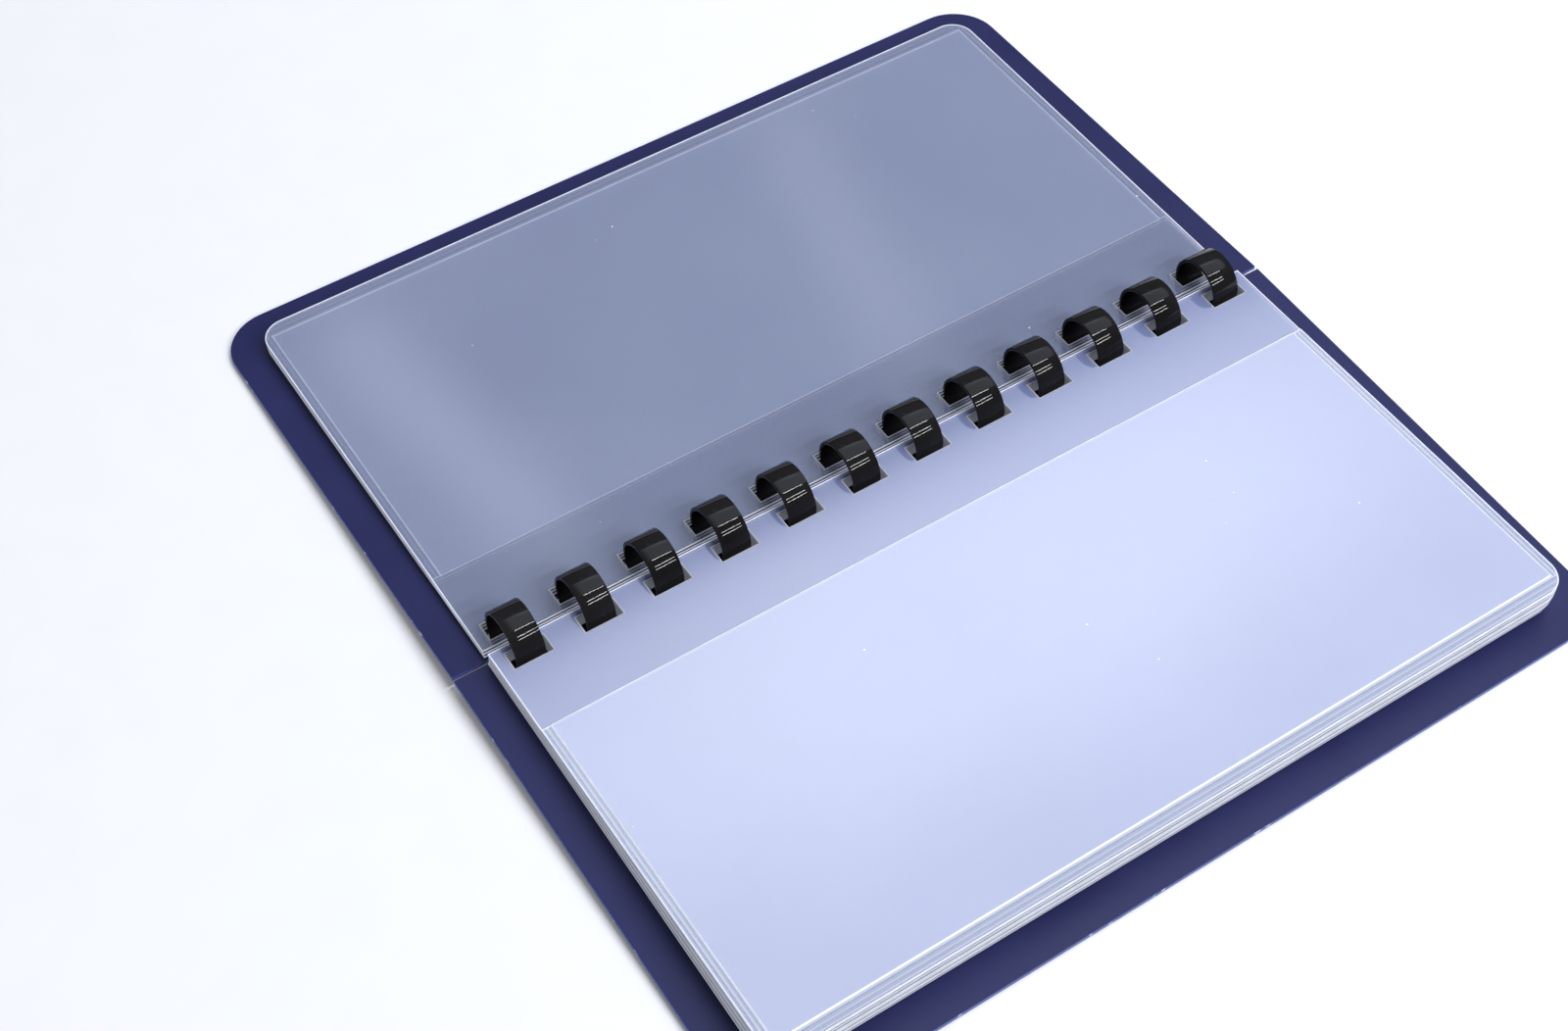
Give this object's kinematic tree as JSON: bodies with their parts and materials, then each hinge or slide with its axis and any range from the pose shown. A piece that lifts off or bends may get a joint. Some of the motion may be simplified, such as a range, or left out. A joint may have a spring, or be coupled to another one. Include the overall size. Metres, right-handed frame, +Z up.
{
  "type": "banknote album",
  "caption": "Open pocket album for banknotes: clear welded pocket leaves between two dark plastic covers, all turning on a curled plastic comb binding.",
  "frame": {"origin": "on the table, under the middle of the comb binding", "axes": "+X along the comb, +Y towards the front cover's outer edge, +Z up"},
  "size_m": [0.1836, 0.2006, 0.0125],
  "materials": {
    "black_comb_plastic": "smooth glossy black moulded plastic",
    "navy_cover_plastic": "smooth satin dark navy sheet",
    "base_film": "clear glossy film",
    "pocket_film": "clear glossy film, welded on three sides"
  },
  "bodies": {
    "comb": {"comb_binding": "black_comb_plastic"},
    "back_cover": {"back_cover": "navy_cover_plastic"},
    "front_cover": {"front_cover": "navy_cover_plastic"},
    "leaf_01": {"leaf_01_base_film": "base_film", "leaf_01_pocket_film": "pocket_film"},
    "leaf_02": {"leaf_02_base_film": "base_film", "leaf_02_pocket_film": "pocket_film"},
    "leaf_03": {"leaf_03_base_film": "base_film", "leaf_03_pocket_film": "pocket_film"},
    "leaf_04": {"leaf_04_base_film": "base_film", "leaf_04_pocket_film": "pocket_film"},
    "leaf_05": {"leaf_05_base_film": "base_film", "leaf_05_pocket_film": "pocket_film"},
    "leaf_06": {"leaf_06_base_film": "base_film", "leaf_06_pocket_film": "pocket_film"},
    "leaf_07": {"leaf_07_base_film": "base_film", "leaf_07_pocket_film": "pocket_film"},
    "leaf_08": {"leaf_08_base_film": "base_film", "leaf_08_pocket_film": "pocket_film"},
    "leaf_09": {"leaf_09_base_film": "base_film", "leaf_09_pocket_film": "pocket_film"},
    "leaf_10": {"leaf_10_base_film": "base_film", "leaf_10_pocket_film": "pocket_film"}
  },
  "joints": [
    {"name": "back_cover_turn", "type": "hinge", "parent": "comb", "child": "back_cover", "pos_m": [0, 0, 0.00654], "axis": [-1, 0, 0], "range_deg": [0, 180]},
    {"name": "leaf_10_turn", "type": "hinge", "parent": "back_cover", "child": "leaf_10", "pos_m": [0, 0, 0.00654], "axis": [-1, 0, 0], "range_deg": [0, 180]},
    {"name": "leaf_09_turn", "type": "hinge", "parent": "leaf_10", "child": "leaf_09", "pos_m": [0, 0, 0.00654], "axis": [-1, 0, 0], "range_deg": [0, 180]},
    {"name": "leaf_08_turn", "type": "hinge", "parent": "leaf_09", "child": "leaf_08", "pos_m": [0, 0, 0.00654], "axis": [-1, 0, 0], "range_deg": [0, 180]},
    {"name": "leaf_07_turn", "type": "hinge", "parent": "leaf_08", "child": "leaf_07", "pos_m": [0, 0, 0.00654], "axis": [-1, 0, 0], "range_deg": [0, 180]},
    {"name": "leaf_06_turn", "type": "hinge", "parent": "leaf_07", "child": "leaf_06", "pos_m": [0, 0, 0.00654], "axis": [-1, 0, 0], "range_deg": [0, 180]},
    {"name": "leaf_05_turn", "type": "hinge", "parent": "leaf_06", "child": "leaf_05", "pos_m": [0, 0, 0.00654], "axis": [-1, 0, 0], "range_deg": [0, 180]},
    {"name": "leaf_04_turn", "type": "hinge", "parent": "leaf_05", "child": "leaf_04", "pos_m": [0, 0, 0.00654], "axis": [-1, 0, 0], "range_deg": [0, 180]},
    {"name": "front_cover_turn", "type": "hinge", "parent": "comb", "child": "front_cover", "pos_m": [0, 0, 0.00654], "axis": [1, 0, 0], "range_deg": [0, 180]},
    {"name": "leaf_01_turn", "type": "hinge", "parent": "front_cover", "child": "leaf_01", "pos_m": [0, 0, 0.00654], "axis": [1, 0, 0], "range_deg": [0, 180]},
    {"name": "leaf_02_turn", "type": "hinge", "parent": "leaf_01", "child": "leaf_02", "pos_m": [0, 0, 0.00654], "axis": [1, 0, 0], "range_deg": [0, 180]},
    {"name": "leaf_03_turn", "type": "hinge", "parent": "leaf_02", "child": "leaf_03", "pos_m": [0, 0, 0.00654], "axis": [1, 0, 0], "range_deg": [0, 180]}
  ]
}
